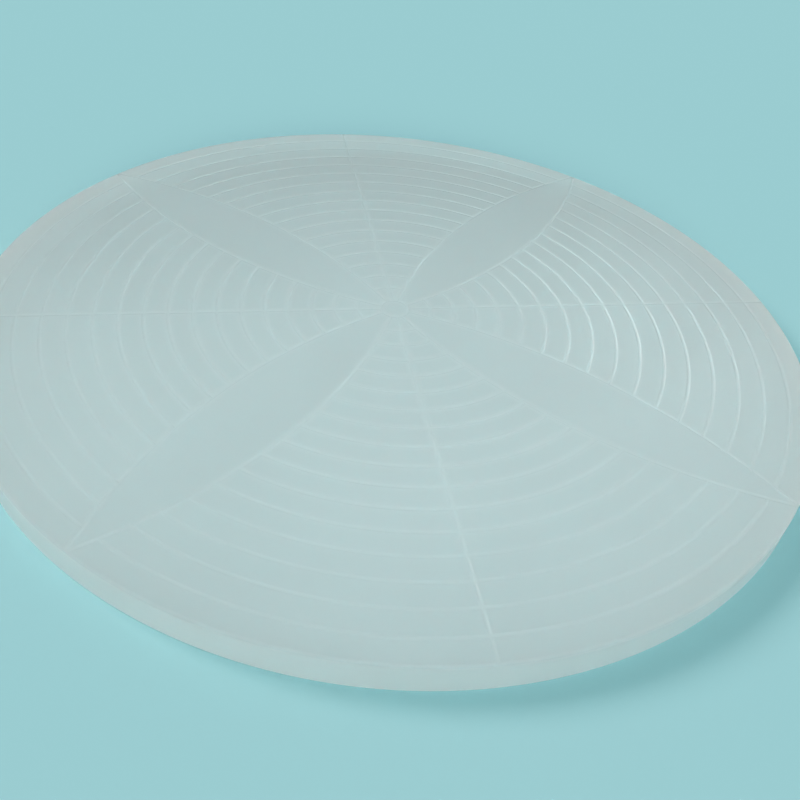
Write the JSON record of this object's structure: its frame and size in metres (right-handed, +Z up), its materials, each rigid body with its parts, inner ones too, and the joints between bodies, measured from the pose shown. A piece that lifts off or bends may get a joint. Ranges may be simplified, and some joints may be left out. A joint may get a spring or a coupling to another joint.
{
  "type": "quartz disc",
  "caption": "Flat round plate of frosted fused quartz with chamfered edges and a web of fine grooves in its top face: rings, straight spokes and pointed petals.",
  "frame": {"origin": "centre of the plate's flat bottom face", "axes": "+Z up through the plate to the grooved face; +X and +Y along two of the straight grooves"},
  "size_m": [0.3, 0.3, 0.011],
  "materials": {
    "frosted_quartz": "milky, ground matt all over"
  },
  "bodies": {
    "root": {"quartz_disc": "frosted_quartz"}
  },
  "joints": []
}
